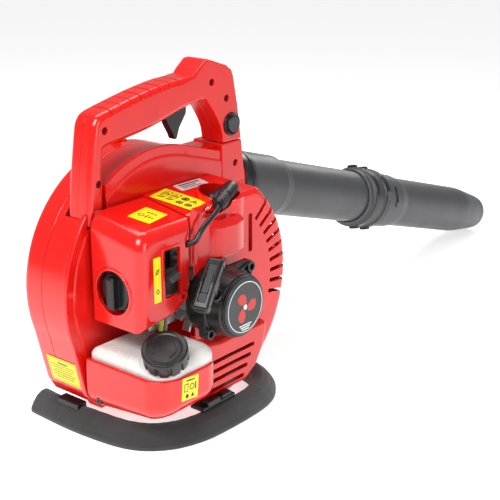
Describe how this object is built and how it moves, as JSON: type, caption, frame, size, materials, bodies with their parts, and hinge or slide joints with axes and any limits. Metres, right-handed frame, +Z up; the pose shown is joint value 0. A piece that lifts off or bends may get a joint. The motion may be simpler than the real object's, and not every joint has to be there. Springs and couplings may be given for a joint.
{
  "type": "handheld petrol leaf blower",
  "caption": "Handheld two-stroke leaf blower: scroll fan casing with D-handle, recoil-start engine, fuel tank, foam stand and a two-piece twist-lock blow tube.",
  "frame": {"origin": "on the floor, on the flat underside of the stand's rear leg, in the parting plane of the fan casing", "axes": "+X along the blow tube's run away from the machine, +Y towards the fan inlet, +Z up"},
  "size_m": [0.9076, 0.2144, 0.368],
  "materials": {
    "red_plastic": "bright red injection-moulded plastic with a high gloss",
    "black_plastic": "black moulded plastic, satin",
    "grey_plastic": "dark grey moulded plastic, satin",
    "tube_plastic": "dark grey blow-moulded tube, satin",
    "foam_rubber": "dark grey closed-cell foam",
    "rubber": "black rubber, matte",
    "tank_plastic": "translucent white tank plastic",
    "fuel_hose": "yellow-green translucent fuel hose",
    "grey_hose": "grey-brown plastic, matte",
    "cast_alloy": "as-cast aluminium alloy",
    "steel": "machined steel",
    "filter_foam": "open-cell filter foam and felt",
    "ceramic": "glazed white ceramic with a plated shell",
    "cord": "braided pull cord"
  },
  "bodies": {
    "housing": {"volute_outer_half": "red_plastic", "volute_inner_half": "red_plastic", "guard_hinge_pin": "steel", "crankcase_fan_half": "cast_alloy", "crankcase_starter_half": "cast_alloy", "fan_side_bearing": "steel", "starter_side_bearing": "steel", "cylinder": "cast_alloy", "ignition_coil": "black_plastic", "spark_plug": "ceramic", "spark_plug_cap": "rubber", "ignition_lead": "rubber", "muffler": "steel", "insulator_block": "black_plastic", "carburettor": "cast_alloy", "air_filter_case": "black_plastic", "air_filter_element": "filter_foam", "air_box_cover": "red_plastic", "engine_cover": "red_plastic", "heat_shield": "steel", "fuel_tank": "tank_plastic", "fuel_line_grommet": "rubber", "fuel_line": "fuel_hose", "return_line": "grey_hose", "fuel_filter": "filter_foam", "tank_cradle": "red_plastic", "recoil_housing": "black_plastic", "recoil_badge": "grey_plastic", "recoil_spring": "steel", "handle_left_half": "red_plastic", "handle_right_half": "red_plastic", "trigger_pivot_pin": "steel", "stop_switch_bezel": "black_plastic", "throttle_cable": "rubber", "stand": "foam_rubber", "stand_clip": "black_plastic", "tube_clamp_ring": "black_plastic", "blow_tube_rear": "tube_plastic"},
    "rotor": {"crankshaft_fan_half": "steel", "crankshaft_starter_half": "steel", "impeller": "black_plastic", "impeller_nut": "steel", "flywheel": "cast_alloy", "starter_dog": "steel"},
    "piston_group": {"piston": "cast_alloy", "gudgeon_pin": "steel"},
    "rod_group": {"connecting_rod": "steel", "crank_pin": "steel"},
    "guard": {"inlet_guard": "black_plastic"},
    "trigger": {"throttle_trigger": "black_plastic"},
    "throttle": {"throttle_valve": "steel"},
    "primer": {"primer_bulb": "tank_plastic"},
    "choke": {"choke_lever": "grey_plastic"},
    "stop": {"stop_button": "grey_plastic"},
    "pulley": {"starter_pulley": "black_plastic", "starter_rope": "cord"},
    "pull_grip": {"starter_handle": "black_plastic"},
    "tank_cap": {"fuel_cap": "black_plastic"},
    "filter_knob": {"air_filter_knob": "black_plastic"},
    "nozzle": {"blow_tube_nozzle": "tube_plastic"}
  },
  "joints": [
    {"name": "rotor_spin", "type": "hinge", "parent": "housing", "child": "rotor", "pos_m": [0.107, 0, 0.1384], "axis": [0, 1, 0], "continuous": true},
    {"name": "piston_slide", "type": "slide", "parent": "housing", "child": "piston_group", "axis": [0, 0, 1], "range_m": [-0.028, 0]},
    {"name": "rod_swing", "type": "hinge", "parent": "piston_group", "child": "rod_group", "pos_m": [0.107, -0.072, 0.1974], "axis": [0, 1, 0], "range_deg": [-6, 6]},
    {"name": "guard_hinge", "type": "hinge", "parent": "housing", "child": "guard", "pos_m": [0.0345, 0.0366, 0.1384], "axis": [0, 0, 1], "range_deg": [0, 100]},
    {"name": "trigger_squeeze", "type": "hinge", "parent": "housing", "child": "trigger", "pos_m": [0.138, -0.026, 0.333], "axis": [0, 1, 0], "range_deg": [0, 20]},
    {"name": "throttle_open", "type": "hinge", "parent": "housing", "child": "throttle", "pos_m": [0.047, -0.072, 0.187], "axis": [0, 1, 0], "range_deg": [0, 76]},
    {"name": "primer_press", "type": "slide", "parent": "housing", "child": "primer", "axis": [0, 0, 1], "range_m": [0, 0.004], "deforming": ["primer_bulb"]},
    {"name": "choke_swing", "type": "hinge", "parent": "housing", "child": "choke", "pos_m": [0.063, -0.11, 0.184], "axis": [0, 1, 0], "range_deg": [-22, 22]},
    {"name": "stop_press", "type": "slide", "parent": "housing", "child": "stop", "axis": [0, 1, 0], "range_m": [0, 0.003]},
    {"name": "starter_pull", "type": "slide", "parent": "housing", "child": "pull_grip", "axis": [-0.6712, -0.2404, 0.7012], "range_m": [0, 0.5]},
    {"name": "pulley_spin", "type": "hinge", "parent": "housing", "child": "pulley", "pos_m": [0.107, -0.143, 0.1384], "axis": [0, 1, 0], "range_deg": [0, 1276]},
    {"name": "cap_unscrew", "type": "hinge", "parent": "housing", "child": "tank_cap", "pos_m": [0.017, -0.1315, 0.104], "axis": [-0.3999, -0.27, 0.8759], "continuous": true},
    {"name": "knob_unscrew", "type": "hinge", "parent": "housing", "child": "filter_knob", "pos_m": [0.0078, -0.0755, 0.165], "axis": [1, 0, 0], "continuous": true},
    {"name": "nozzle_twist", "type": "hinge", "parent": "housing", "child": "nozzle", "pos_m": [0.61847, 0, 0.10254], "axis": [0.9573, 0, -0.289], "range_deg": [0, 28]}
  ],
  "couplings": [
    {"joint": "throttle_open", "follows": "trigger_squeeze", "ratio": 3.75},
    {"joint": "pulley_spin", "follows": "starter_pull", "rad_per_m": 44.444}
  ]
}
